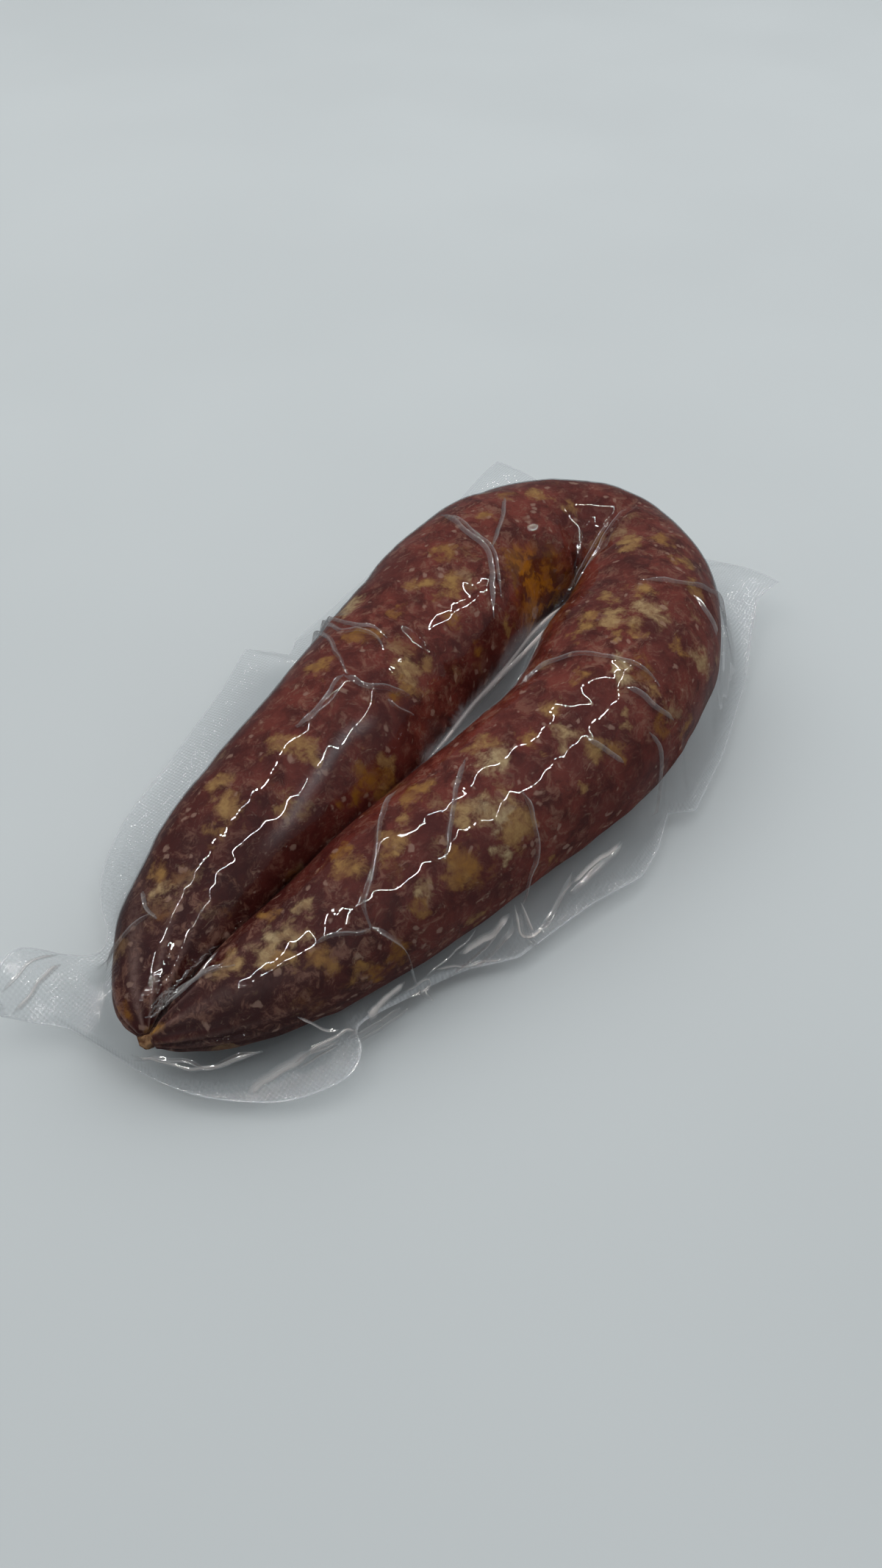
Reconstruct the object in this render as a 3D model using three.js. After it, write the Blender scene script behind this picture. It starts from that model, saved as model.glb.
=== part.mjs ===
// A horseshoe shaped dry cured sausage sealed tight in a clear vacuum pouch.
// Millimetres, +Z up, underside at Z = 0. +X runs along the legs to the bend.
import * as THREE from 'three';

// Sausage centreline from one tip round the bend to the other: x, y, radius
const PATH = [
  [-101, -3.5, 2], [-97, 0.5, 6.5], [-91, 4.5, 9.7], [-80, 9.5, 13.4], [-60, 13.8, 17],
  [-40, 14.8, 19.3], [-18, 16.8, 20.6], [10, 22.8, 20.8], [36, 27.8, 21.4], [60, 29.2, 20.9],
  [79, 25.5, 19.2], [89.5, 12.2, 18.4], [83, -4.5, 19], [70.4, -15, 20.4], [55, -22.6, 21.4],
  [38, -27.2, 21.5], [19, -28.9, 20.8], [-10, -25.5, 19.2], [-39, -21.3, 17.7],
  [-58, -17.8, 15.6], [-76, -13.6, 12.2], [-90, -9.8, 8], [-101, -5.5, 2],
];
const REST = 0.95;        // centre height over radius, so the underside is pressed flat
const TIP_HEIGHT = 13.5;  // centre height where the tied tips lift off the table

// Pouch outline: the +Y side and the -Y side as x, y, both from the curled ear to the far end
const LEFT = [
  [-116, 29], [-112, 32], [-104, 33.5], [-97, 28.5], [-92, 25.5], [-87, 28], [-83, 35],
  [-75, 44], [-61, 52], [-41, 58], [-13, 67], [2, 73], [7, 60.5], [14, 64.5], [48, 67],
  [85, 68.5], [118, 70],
];
const RIGHT = [
  [-116, 27], [-112, 21], [-108.5, 16], [-107, 7], [-106, -2], [-104.5, -9], [-102, -16],
  [-98, -23], [-91, -32], [-82, -38], [-77, -39], [-73, -37], [-70, -33.5], [-62, -35],
  [-50, -38.5], [-42, -42], [-33, -49], [-10, -54], [4, -58.5], [14, -57], [25, -53],
  [30, -58], [51, -54], [80, -45], [108, -32.5], [118, -34],
];
const END_BOW = 2.5;      // the far seal bows outward between its corners
const SEAL = 0.8;         // thickness of the sealed rim
const RIM_HEIGHT = 4.6;   // mid height of the rim over the table
const RIM_WAVE = 0.9;
// Places where the rim is lifted: x, y, rise, reach
const LIFTS = [[-114, 28, 8, 15], [118, 70, 6, 26], [118, -34, 6, 24], [5, 62, 2.5, 12],
  [-70, -34, 2.5, 10]];

// Film drape: take-off angle on the sausage, fall exponent and softness between the legs
const TAKE_OFF = 20 * Math.PI / 180;
const FALL = 1.6;
const BRIDGE = 2.6;
// Film stretched over the slit between the legs: x, y and height
const SLIT = [[-4, -3, 24], [14, -1, 21], [36, 2, 20], [56, 4, 22]];
// Raised pleats of spare film: height, half width and the run as x, y
const PLEATS = [
  [1.9, 2.4, [[82, 43], [60, 39], [49, 33], [43, 24], [37, 13], [29, 6]]],
  [1.5, 2.2, [[80, 38], [72, 35], [54, 25], [46, 21]]],
  [1.7, 2.3, [[10, 56], [0, 36], [-2, 26], [-2, 15]]],
  [1.9, 2.3, [[8, 57], [-6, 33], [-14, 21], [-11, 8], [-4, 4]]],
  [1.5, 2.2, [[-15, 18], [-24, 15], [-34, 13]]],
  [1.5, 2.2, [[-96, 24], [-93, 17], [-85, 10]]],
  [2.0, 2.4, [[-38, -12], [-50, -21], [-58, -28], [-57, -34], [-54, -39]]],
  [1.5, 2.2, [[-17, -15], [-26, -24], [-30, -32]]],
  [2.1, 2.5, [[-7, -31], [-18, -41], [-24, -45], [-30, -50]]],
  [1.6, 2.3, [[54, -12], [60, -25], [74, -32], [88, -38]]],
  [1.7, 2.3, [[24, -32], [30, -42], [27, -50], [25, -54]]],
];
// Fold on the inside of the bend: depth, half width and run
const FOLD = [4.5, 3.4, [[54, 3], [66, 1], [80, 2], [92, 3]]];

const COLUMNS = [[-116, 5], [-108.5, 9], [-98, 58], [118, 0]]; // x where each run of cells starts
const ROWS = 38;

function spline(points, perSpan) {
  const out = [];
  for (let i = 0; i < points.length - 1; i++) {
    const a = points[Math.max(i - 1, 0)], b = points[i];
    const c = points[i + 1], d = points[Math.min(i + 2, points.length - 1)];
    for (let k = 0; k < perSpan; k++) {
      const t = k / perSpan;
      out.push(b.map((_, n) => 0.5 * (2 * b[n] + (c[n] - a[n]) * t
        + (2 * a[n] - 5 * b[n] + 4 * c[n] - d[n]) * t * t
        + (3 * b[n] - a[n] - 3 * c[n] + d[n]) * t * t * t)));
    }
  }
  out.push(points[points.length - 1]);
  return out;
}

// Spheres along the centreline, each with its run length, split in two legs at the bend
const tube = spline(PATH, 12).map(([x, y, r]) => ({ x, y, r, z: Math.max(REST * r, TIP_HEIGHT) }));
tube.forEach((p, i) => {
  p.run = i ? tube[i - 1].run + Math.hypot(p.x - tube[i - 1].x, p.y - tube[i - 1].y) : 0;
});
const bend = tube.reduce((best, p, i) => (p.x > tube[best].x ? i : best), 0);
const legs = [tube.slice(0, bend + 1), tube.slice(bend)];

function smooth(low, high, value) {
  const t = Math.min(Math.max((value - low) / (high - low), 0), 1);
  return t * t * (3 - 2 * t);
}

function along(side, x) {
  let i = 0;
  while (i < side.length - 2 && side[i + 1][0] < x) i++;
  const t = (x - side[i][0]) / (side[i + 1][0] - side[i][0]);
  return side[i][1] + (side[i + 1][1] - side[i][1]) * t;
}

function toRun(x, y, run) {
  let best = { gap: Infinity, part: 0 };
  for (let i = 0; i < run.length - 1; i++) {
    const [ax, ay] = run[i], [bx, by] = run[i + 1];
    const dx = bx - ax, dy = by - ay;
    const t = Math.min(Math.max(((x - ax) * dx + (y - ay) * dy) / (dx * dx + dy * dy), 0), 1);
    const gap = Math.hypot(x - ax - dx * t, y - ay - dy * t);
    if (gap < best.gap) best = { gap, part: (i + t) / (run.length - 1), i, t };
  }
  return best;
}

function ridge(x, y, [height, width, run]) {
  const { gap, part } = toRun(x, y, run);
  const ends = 0.35 + 0.65 * smooth(0, 0.2, part) * smooth(0, 0.25, 1 - part);
  return height * ends * Math.exp(-((gap / width) ** 2));
}

function rimHeight(x, y) {
  const wave = RIM_WAVE * Math.sin(x * 0.075 + y * 0.05) * Math.cos(x * 0.031 - y * 0.11);
  return LIFTS.reduce((z, [lx, ly, rise, reach]) =>
    z + rise * Math.exp(-((Math.hypot(x - lx, y - ly) / reach) ** 2)), RIM_HEIGHT + wave);
}

// Height of the film over one leg (side 1) or under it (side -1)
function overLeg(x, y, leg, side, rim) {
  let best = { z: -Infinity, run: 0 };
  for (const p of leg) {
    const gap = Math.hypot(x - p.x, y - p.y);
    const lift = side * (p.z - rim);
    const edge = p.r * Math.cos(TAKE_OFF);
    const start = lift + p.r * Math.sin(TAKE_OFF);
    const reach = Math.max(FALL * start * Math.tan(TAKE_OFF), 2);
    const z = gap < edge ? lift + Math.sqrt(p.r * p.r - gap * gap)
      : start * Math.max(1 - (gap - edge) / reach, 0) ** FALL;
    if (z > best.z) best = { z, run: p.run };
  }
  return best;
}

function drape(x, y, side, rim) {
  const [a, b] = legs.map((leg) => overLeg(x, y, leg, side, rim));
  const apart = BRIDGE * smooth(25, 80, Math.abs(a.run - b.run)) + 0.01;
  const top = Math.max(a.z, b.z);
  return top + apart * Math.log(Math.exp((a.z - top) / apart) + Math.exp((b.z - top) / apart));
}

// Upper and lower height of the pouch at one place; inside counts millimetres from the rim
function heights(x, y, inside) {
  const rim = rimHeight(x, y);
  const onto = smooth(1, 9, inside);
  let top = rim + SEAL / 2 + drape(x, y, 1, rim) * onto;
  const base = Math.max(rim - SEAL / 2 - Math.max(drape(x, y, -1, rim), 0) * onto, 0);
  const slit = toRun(x, y, SLIT);
  const strand = SLIT[slit.i][2] + (SLIT[slit.i + 1][2] - SLIT[slit.i][2]) * slit.t;
  top = Math.max(top, strand - 0.09 * slit.gap ** 2);
  const sausage = smooth(4, 14, top - rim);
  top += 0.35 * sausage * (Math.sin(x * 0.21 + 1) * Math.cos(y * 0.26) + Math.sin(x * 0.09 - y * 0.17));
  for (const pleat of PLEATS) top += ridge(x, y, pleat) * smooth(0.5, 6, inside);
  top -= ridge(x, y, FOLD);
  return [Math.max(top, base + SEAL), base];
}

function pouchGeometry() {
  const xs = [];
  for (let i = 0; i < COLUMNS.length - 1; i++) {
    const [x0, count] = COLUMNS[i], x1 = COLUMNS[i + 1][0];
    for (let k = 0; k < count; k++) xs.push(x0 + (x1 - x0) * k / count);
  }
  xs.push(COLUMNS[COLUMNS.length - 1][0]);
  const tops = [], bases = [];
  const far = xs[xs.length - 1];
  for (const x of xs) {
    const low = along(RIGHT, x), high = along(LEFT, x);
    for (let j = 0; j < ROWS; j++) {
      const v = j / (ROWS - 1);
      const y = low + (high - low) * (v + 0.06 * Math.sin(4 * Math.PI * v) / (2 * Math.PI));
      const px = x + END_BOW * Math.sin(Math.PI * v) * smooth(far - 30, far, x);
      const inside = Math.min(y - low, high - y, far + END_BOW * Math.sin(Math.PI * v) - px,
        Math.hypot(px + 116, y - 28) * 0.35 + Math.max(px + 104, 0));
      const [top, base] = heights(px, y, inside);
      tops.push(px, y, top);
      bases.push(px, y, base);
    }
  }
  const n = xs.length * ROWS;
  const at = (i, j) => i * ROWS + j;
  const index = [];
  for (let i = 0; i < xs.length - 1; i++) {
    for (let j = 0; j < ROWS - 1; j++) {
      const a = at(i, j), b = at(i + 1, j), c = at(i + 1, j + 1), d = at(i, j + 1);
      index.push(a, b, c, a, c, d, n + a, n + c, n + b, n + a, n + d, n + c);
    }
  }
  const wall = (a, b) => index.push(a, n + a, n + b, a, n + b, b);
  for (let i = 0; i < xs.length - 1; i++) {
    wall(at(i, 0), at(i + 1, 0));
    wall(at(i + 1, ROWS - 1), at(i, ROWS - 1));
  }
  for (let j = 0; j < ROWS - 1; j++) {
    wall(at(xs.length - 1, j), at(xs.length - 1, j + 1));
    wall(at(0, j + 1), at(0, j));
  }
  const geometry = new THREE.BufferGeometry();
  geometry.setAttribute('position', new THREE.Float32BufferAttribute([...tops, ...bases], 3));
  geometry.setIndex(index);
  geometry.computeBoundingBox();
  const box = geometry.boundingBox;
  geometry.translate(-(box.min.x + box.max.x) / 2, -(box.min.y + box.max.y) / 2, -box.min.z);
  geometry.computeVertexNormals();
  return geometry;
}

const cured = new THREE.MeshStandardMaterial({ name: 'sealed_sausage', color: 0x6e302a, roughness: 0.35 });
const pouch = new THREE.Mesh(pouchGeometry(), cured);
pouch.name = 'vacuum_pouch';
const group = new THREE.Group();
group.name = 'vacuum_packed_sausage';
group.add(pouch);

export default group;
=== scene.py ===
"""Looks of a horseshoe shaped cured sausage in a clear vacuum pouch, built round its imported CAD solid."""
import math

import bpy
import numpy as np
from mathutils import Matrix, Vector
from mathutils.bvhtree import BVHTree


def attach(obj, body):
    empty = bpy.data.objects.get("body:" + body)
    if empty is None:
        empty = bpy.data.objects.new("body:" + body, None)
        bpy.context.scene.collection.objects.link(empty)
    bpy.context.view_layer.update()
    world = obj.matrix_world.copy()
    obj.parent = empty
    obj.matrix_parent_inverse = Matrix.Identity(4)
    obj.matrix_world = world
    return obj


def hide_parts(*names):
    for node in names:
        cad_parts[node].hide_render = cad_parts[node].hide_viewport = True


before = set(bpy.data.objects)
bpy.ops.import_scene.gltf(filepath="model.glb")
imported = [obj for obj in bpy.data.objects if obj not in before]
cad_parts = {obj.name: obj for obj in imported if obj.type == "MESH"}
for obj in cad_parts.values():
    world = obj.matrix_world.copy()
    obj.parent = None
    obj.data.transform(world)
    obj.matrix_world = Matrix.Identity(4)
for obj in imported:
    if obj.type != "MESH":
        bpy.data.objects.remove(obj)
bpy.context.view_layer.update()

MM = 0.001
# The solid's drawing frame, in millimetres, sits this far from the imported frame's origin
SHIFT = np.array([2.249, 6.79, 0.0])

# The measures the solid was drawn with, in millimetres

# Centreline of the sausage from tip to tip: x, y and radius
PATH = [
    (-101, -3.5, 2), (-97, 0.5, 6.5), (-91, 4.5, 9.7), (-80, 9.5, 13.4), (-60, 13.8, 17),
    (-40, 14.8, 19.3), (-18, 16.8, 20.6), (10, 22.8, 20.8), (36, 27.8, 21.4), (60, 29.2, 20.9),
    (79, 25.5, 19.2), (89.5, 12.2, 18.4), (83, -4.5, 19), (70.4, -15, 20.4), (55, -22.6, 21.4),
    (38, -27.2, 21.5), (19, -28.9, 20.8), (-10, -25.5, 19.2), (-39, -21.3, 17.7),
    (-58, -17.8, 15.6), (-76, -13.6, 12.2), (-90, -9.8, 8), (-101, -5.5, 2),
]
# Height of the centreline over the table: a share of the radius, and no less at the tips than this
REST, TIP_HEIGHT = 0.95, 13.5
# Outline of the rim on the far side, LEFT, and on the near side, RIGHT
LEFT = [
    (-116, 29), (-112, 32), (-104, 33.5), (-97, 28.5), (-92, 25.5), (-87, 28), (-83, 35),
    (-75, 44), (-61, 52), (-41, 58), (-13, 67), (2, 73), (7, 60.5), (14, 64.5), (48, 67),
    (85, 68.5), (118, 70),
]
RIGHT = [
    (-116, 27), (-112, 21), (-108.5, 16), (-107, 7), (-106, -2), (-104.5, -9), (-102, -16),
    (-98, -23), (-91, -32), (-82, -38), (-77, -39), (-73, -37), (-70, -33.5), (-62, -35),
    (-50, -38.5), (-42, -42), (-33, -49), (-10, -54), (4, -58.5), (14, -57), (25, -53),
    (30, -58), (51, -54), (80, -45), (108, -32.5), (118, -34),
]
# Where the outline starts, where its curled corner and its round part end, and where it ends, along X
START_X, EAR_X, ROUND_X, END_X = -116, -108.5, -98, 118
# How far the far end bows out, the rim's height over the table, and the height of its waves
END_BOW, RIM_HEIGHT, RIM_WAVE = 2.5, 4.6, 0.9
# Where the rim curls up: x, y, how far up, and over what reach
LIFTS = [(-108, 34, 11, 11), (118, 70, 6, 26), (118, -34, 6, 24), (5, 62, 2.5, 12), (-70, -34, 2.5, 10)]
# How far round the meat the film holds on, outside and inside the horseshoe
TAKE_OFF, INNER_TAKE_OFF = math.radians(20), math.radians(5)
# How steeply the film falls to the rim, and how softly it bridges the two legs
FALL, BRIDGE = 1.6, 1.6
# Where the film bridges the slit it stands on two taut ridges, given as x, y of the first and the second
RIDGE_ONE = [(-13, -3.5), (-1, -2.1), (12, 0), (22, 1), (34, 2.6), (44, 4), (54, 4.2), (63, 3.2)]
RIDGE_TWO = [(-13, -3.5), (-1, -2.1), (12, 0), (22, 0.6), (30, 1), (41, 1.4), (51, 2), (63, 3.2)]
# Their height, how much they rise for each millimetre along X, and from where
RIDGE_TOP, RIDGE_RISE, RISE_FROM = 19.0, 0.04, 30
# The crease of the bend, from the slit to the outer side, and how deep it is along its run
CREASE = [(56, 3.6), (61, 3), (66, 2.4), (71, 2.4), (77, 3.4), (84, 4.4), (91, 4.4)]
CREASE_DEPTH = (5.5, 1.6)
# The line where the two legs press together, from the tips to the slit
SEAM = [(-103, -4.6), (-90, -3.5), (-80, -2.9), (-60, -2.6), (-40, -4.0), (-18, -4.6), (-12, -3.8)]
# Both legs swell into the slit: the side of Y it is on, how far, where along X, and over what length
SWELLS = [(-1, 3.0, 40, 15), (1, 3.2, 34, 22), (1, 3.0, 67, 6), (-1, 2.0, 67, 6)]
# Raised pleats of spare film: height, half width, run
PLEATS = [
    (1.0, 0.9, [(50, 40), (45, 28.5), (43.5, 20), (39, 14.5), (34, 10.5), (29, 6)]),
    (0.8, 0.7, [(50, 38.5), (46, 25.5), (45.5, 20), (43, 16), (39, 12), (35, 8)]),
    (0.9, 0.8, [(66, 30), (58, 25), (52, 22), (45.5, 19)]),
    (1.0, 0.8, [(13, 58), (6, 46), (-3, 30), (-1.5, 24), (-1, 19), (-3, 15)]),
    (0.7, 0.6, [(13, 57), (4, 42), (-1, 28), (1, 22), (0.5, 17)]),
    (1.1, 0.8, [(12, 57), (-1, 40), (-7, 29), (-10.5, 24), (-13.5, 19), (-15.5, 15.5)]),
    (1.1, 0.8, [(-16.5, 15.7), (-16, 12.4), (-14, 9.4), (-11, 7), (-7, 4)]),
    (0.8, 0.6, [(-16, 16), (-19, 16), (-23, 14.6), (-27, 14), (-31, 14), (-34, 15)]),
    (0.8, 0.6, [(-18, 15), (-20.5, 14), (-24, 13), (-28, 13), (-31, 13), (-34, 14.6)]),
    (0.8, 0.8, [(-13, 5.5), (-12, 3), (-9, 1)]),
    (1.2, 0.9, [(-29, -11), (-34.5, -12.5), (-39.5, -15), (-46.5, -19.7), (-52, -23), (-57, -25),
                (-59, -28.5)]),
    (0.8, 0.8, [(-16.5, -20), (-22, -22.5), (-28.5, -26), (-32.5, -28.5), (-38.5, -32)]),
    (0.9, 0.7, [(-69, -22), (-66, -23.5), (-63.5, -25.5), (-61.5, -27.5), (-59, -28.7)]),
    (1.3, 0.9, [(-58.7, -28.7), (-57, -32), (-55, -35), (-54, -38), (-54, -41)]),
    (0.9, 0.6, [(-74, -34), (-70.5, -34), (-67, -35), (-63, -36), (-60, -36.5)]),
    (0.8, 0.6, [(-73.5, -34.5), (-69, -35.6), (-65, -37), (-59, -37.8)]),
    (0.8, 0.7, [(-105, -2.5), (-102, -9), (-99.5, -13), (-97, -17), (-93, -20), (-88, -23.5)]),
    (0.7, 0.5, [(-85, -28.5), (-81.5, -30), (-79, -31.5), (-75.5, -33)]),
    (0.7, 0.5, [(-85, -29.7), (-81.5, -31.2), (-78.5, -32.6), (-76, -33.5)]),
    (1.1, 0.8, [(-15, -34.5), (-16, -38), (-18, -41), (-19.5, -42.3), (-22, -43.5), (-27, -44.6)]),
    (1.0, 0.5, [(-27.5, -44.4), (-28.4, -46), (-28.8, -48), (-29, -50.5)]),
    (0.9, 0.5, [(-26.8, -45), (-27.4, -47.8), (-28, -50.5)]),
    (0.9, 0.6, [(-29.5, -43.7), (-31, -44.5), (-33.5, -44.5), (-37.5, -43.6), (-42, -42.5)]),
    (0.8, 0.6, [(-31, -43.7), (-36, -42.7), (-43, -40.7), (-47, -39.6)]),
    (0.8, 1.5, [(-14, -49), (-11.5, -49.6), (-8.5, -50), (-4.5, -50.7), (0, -51.5), (4, -52)]),
    (0.8, 0.8, [(-25, -48.5), (-22, -49), (-18.5, -48.4), (-15, -48), (-11, -47.7)]),
    (0.9, 0.7, [(20, -46), (21.5, -48.5), (21, -50.5), (19.5, -51.5), (17, -52)]),
    (0.9, 0.8, [(11, -15), (16, -14.5), (19, -16), (21.5, -18.6), (24, -22), (25.6, -26.6), (27.7, -31.3),
                (29.4, -35.4), (30.4, -39), (30, -42)]),
    (0.9, 0.8, [(22.5, -37), (24, -40.3), (24.6, -43), (26.3, -45.3), (29, -47.5)]),
    (1.0, 0.8, [(56.5, -19.4), (59, -23.5), (62.6, -26.7), (66, -28.7), (69.5, -31), (77, -33), (84, -35)]),
    (0.8, 0.7, [(64, -31.3), (63, -34.8), (63, -38), (62, -40.4)]),
    (0.8, 0.6, [(-96, 15), (-92.5, 13.3), (-88.6, 11.4), (-84.6, 10.1)]),
    (0.7, 0.5, [(-77.8, -2.3), (-85.3, -2.9), (-91.2, -3.1), (-97.7, -2.6)]),
    (0.7, 0.5, [(-83, -9.5), (-89.3, -6.2), (-93.6, -3.8), (-99, -3)]),
    (0.7, 0.5, [(-82, -12), (-87.5, -7.2), (-92.6, -4.6), (-99, -3.6)]),
    (0.7, 0.6, [(-81.6, 16), (-84, 12.3), (-84.8, 8.2)]),
    (0.7, 0.9, [(5.5, -38.2), (7.2, -41.7), (9.9, -45.7)]),
    (0.8, 0.5, [(61, 3.2), (64, 2.8), (68.7, 2.7), (71.9, 3), (75.5, 3.5), (79.6, 4), (85.1, 4.6),
                (89.5, 4.5)]),
    (0.7, 0.5, [(63, 5.1), (68, 5.4), (73.9, 5.2), (78.5, 5.6), (82.5, 5.8)]),
]
# Folds by the rim, the curled corner and the tips, with a painted highlight along each: height, half width,
# run, how bright
PAINTED_HIGHLIGHT_FOLDS = [
    (0.3, 1.1, [(-12.5, -48.4), (-7, -49.3), (-2.2, -50.4), (3.5, -51.4)], 6.5),
    (0.3, 0.6, [(-11.4, -48.5), (-16.5, -48.1), (-19.9, -48.3), (-23.1, -48.2)], 3.0),
    (0.5, 0.7, [(-28.3, -43.4), (-28.6, -44.8), (-29.1, -46.5), (-26.9, -48.2), (-23.4, -48.4)], 6.0),
    (0.5, 0.6, [(-26.5, -43.9), (-26.1, -45.5), (-26.2, -47.9)], 6.0),
    (0.3, 1.8, [(-43.1, -39.6), (-37.9, -41.4), (-34.1, -42.9), (-30, -43.4)], 6.0),
    (0.3, 0.5, [(-52.2, -36.9), (-47.3, -38.2), (-43.3, -39.3), (-38.1, -40.4)], 2.5),
    (0.3, 0.5, [(-50.3, -37.5), (-44.6, -39.9), (-39.6, -42.8), (-34.9, -46.7)], 3.0),
    (0.3, 1.6, [(-67.3, -33.8), (-63.7, -33.8), (-60.4, -34.3), (-56.6, -35.3)], 6.0),
    (0.3, 0.5, [(-57.4, -35.3), (-51.3, -37.5), (-53.2, -38), (-57, -36.3)], 3.5),
    (0.3, 0.8, [(-104.9, -1.9), (-103.7, -5.6), (-102.5, -8.7), (-100.7, -12.2), (-98.7, -15.2),
                (-95.3, -18.6), (-91.5, -21.2), (-88, -23.3)], 4.0),
    (0.2, 1.6, [(-95.3, -24.6), (-92, -25.2), (-89.4, -26.4), (-84.8, -28.5), (-81, -29.8)], 3.0),
    (0.3, 0.7, [(-82, -29.6), (-79.7, -30.3), (-75.2, -32.3), (-70.5, -33.5)], 4.0),
    (0.4, 0.5, [(-79.6, -25.9), (-78.1, -27.7), (-76.1, -30.4), (-74, -32)], 3.0),
    (0.3, 0.9, [(-114, 25.6), (-110.4, 25.2), (-105.6, 26.0), (-100, 26.8)], 3.0),
    (0.3, 0.6, [(-113, 29.5), (-109, 29.2), (-104, 29.6), (-99, 29.2)], 2.5),
    (0.4, 0.5, [(-99.6, -2.6), (-97.1, -4.0), (-93.7, -4.9), (-89.0, -6.1), (-84.2, -5.8), (-80, -5)], 2.5),
]
# A soft milky band where the film stands off the far leg, partly haze and partly painted sheen
HAZE_AND_SHEEN_BAND = [(-17, 4), (-22, 4.5), (-27, 5.4), (-32, 5), (-38, 4), (-44, 3), (-50, 2), (-57, 2), (-63, 2)]
# Larger pieces of fat that show at the surface: x, y, half size, and a tone from 0, oily orange, to 1, pale
FAT = [
    (-58, 13, 3.0, 0.6), (-49, 4, 2.6, 0.6), (-65, 12, 2.2, 0.5), (-76, 17, 2.2, 0.4),
    (-79, 13, 2.6, 0.8), (-40, 15, 2.6, 0.6), (-38, 11, 2.8, 0.6), (-37, 7, 2.0, 0.6),
    (-30, -2, 3.4, 0.1), (-26, -4, 3.2, 0.2), (-23, -3, 2.4, 0.6), (-35, -3, 2.4, 0.1),
    (-55, 19, 2.6, 0.6), (-2, 8, 3.6, 0.7), (-5, 6, 3.0, 0.4), (-10, 5, 2.2, 0.0), (-16, 24, 2.8, 0.3),
    (-4, 23, 2.8, 0.2), (-1, 20, 2.4, 0.2), (7, 36, 4.0, 0.8), (27, 20, 2.8, 0.5), (24, 17, 2.6, 0.5),
    (21, 23, 2.6, 0.5), (31, 15, 1.2, 1.0), (3, 7, 2.4, 0.6), (20, 4, 2.0, 0.1), (33, 4, 2.4, 0.5),
    (48, 13, 4.6, 0.05), (52, 11, 3.4, 0.05), (61, 11, 2.8, 0.1), (42, 9, 2.4, 0.05), (47, 6, 2.4, 0.1),
    (63, 5, 1.8, 0.0), (67, 3, 1.7, 0.05), (71, 3.5, 1.6, 0.05), (35, 27, 3.2, 0.3), (76, 27, 3.0, 0.5),
    (68, 31, 2.4, 0.3), (47, -16, 2.4, 0.6), (42, -21, 2.6, 0.7), (39, -23, 2.4, 0.7),
    (48, -27, 4.0, 0.8), (40, -27, 2.0, 0.7), (74, -6, 3.2, 0.6), (70, -8, 2.8, 0.6),
    (54, -22, 2.8, 0.5), (38, -16, 2.4, 0.5), (35, -19, 2.2, 0.5), (31, -18, 1.8, 0.4),
    (34, -26, 2.2, 0.5), (39, -29, 2.2, 0.5), (49, -43, 3.6, 0.8), (27, -32, 2.6, 0.9),
    (24, -36, 3.0, 0.9), (30, -37, 3.2, 0.2), (28, -41, 1.8, 0.6), (19, -26, 2.4, 0.3),
    (27, -4, 2.6, 0.3), (24, -6, 2.2, 0.4), (6, -27, 2.8, 0.6), (16, -42, 2.0, 0.7), (3, -34, 3.0, 0.8),
    (6, -40, 2.6, 0.6), (10, -44, 2.0, 0.3), (-3, -43, 1.8, 0.6), (-11, -20, 2.8, 0.6),
    (-13, -26, 3.2, 0.9), (-28, -29, 3.0, 0.7), (-25, -31, 3.4, 0.8), (-23, -34, 3.0, 1.0),
    (-18, -34, 2.2, 0.7), (-21, -38, 3.6, 0.6), (-27, -39, 2.4, 0.9), (-36, -35, 4.4, 0.2),
    (-39, -35, 2.6, 0.3), (-37, -40, 2.6, 0.6), (-47, -32, 2.0, 0.8), (-50, -33, 2.0, 0.3),
    (-29, -17, 3.4, 0.3), (-14, -45, 1.8, 0.3), (-71, -17, 2.8, 0.8), (-74, -14, 2.8, 0.9),
    (-76, -17, 2.8, 0.8), (-75, -20, 2.2, 0.6), (-69, -25, 2.8, 0.3), (-83, -11, 2.6, 0.7),
    (-81, -9, 2.0, 0.7), (-53, -18, 3.2, 0.5), (-50, -13, 2.2, 0.2), (-36, -19, 2.2, 0.6),
    (-42, -21, 2.6, 0.6), (-45, -21, 2.0, 0.5), (-64, -14, 1.8, 0.8), (-69, -8, 2.2, 0.3),
    (-65, -31, 2.4, 0.3), (-61, -33, 2.2, 0.1), (-56, -34, 2.4, 0.1), (-100, -5, 2.0, 0.3),
    (-101, 3, 1.8, 0.05), (44, -39, 2.4, 0.3), (34, -49, 2.6, 0.2), (25, -47, 2.2, 0.1),
    (-4, -29, 2.0, 0.4), (10, 22, 1.8, 0.2), (18, 11, 2.2, 0.2), (54, 29, 2.6, 0.3), (78, 18, 2.2, 0.4),
    (75, -22, 2.8, 0.4), (79, -13, 2.8, 0.3), (67, -30, 3.0, 0.5), (60, 4.6, 1.8, 0.0),
    (64, 4.2, 1.9, 0.0), (68, 4.1, 1.9, 0.0), (72, 4.2, 1.8, 0.0), (77, 4.8, 1.6, 0.0),
]
# Grids of the upper and lower film: lines along X, and rows across
TOP_LINES, TOP_ROWS = 391, 225
BASE_LINES, BASE_ROWS = 250, 140
# How many of those lines are in the curled corner, and how many in the round part after it
EAR_LINES, ROUND_LINES = 12, 30
# The films stay this far off the meat, before and after they are smoothed
FIRST_GAP, LAST_GAP = 0.28, 0.14
# Stands for a height where there is nothing, and a height over everything, to look down from
NOWHERE, ABOVE_ALL = -1e9, 80.0
DOWN = Vector((0, 0, -1))


# Small numeric helpers
def spline(points, per):
    """A smooth curve through the points, with that many steps between each two."""
    p = np.array(points, float)
    ext = np.vstack([p[0], p, p[-1]])
    out = []
    for i in range(len(p) - 1):
        a, b, c, d = ext[i], ext[i + 1], ext[i + 2], ext[i + 3]
        for t in np.arange(per) / per:
            out.append(0.5 * (2 * b + (c - a) * t + (2 * a - 5 * b + 4 * c - d) * t * t
                              + (3 * b - a - 3 * c + d) * t ** 3))
    out.append(p[-1])
    return np.array(out)


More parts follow.
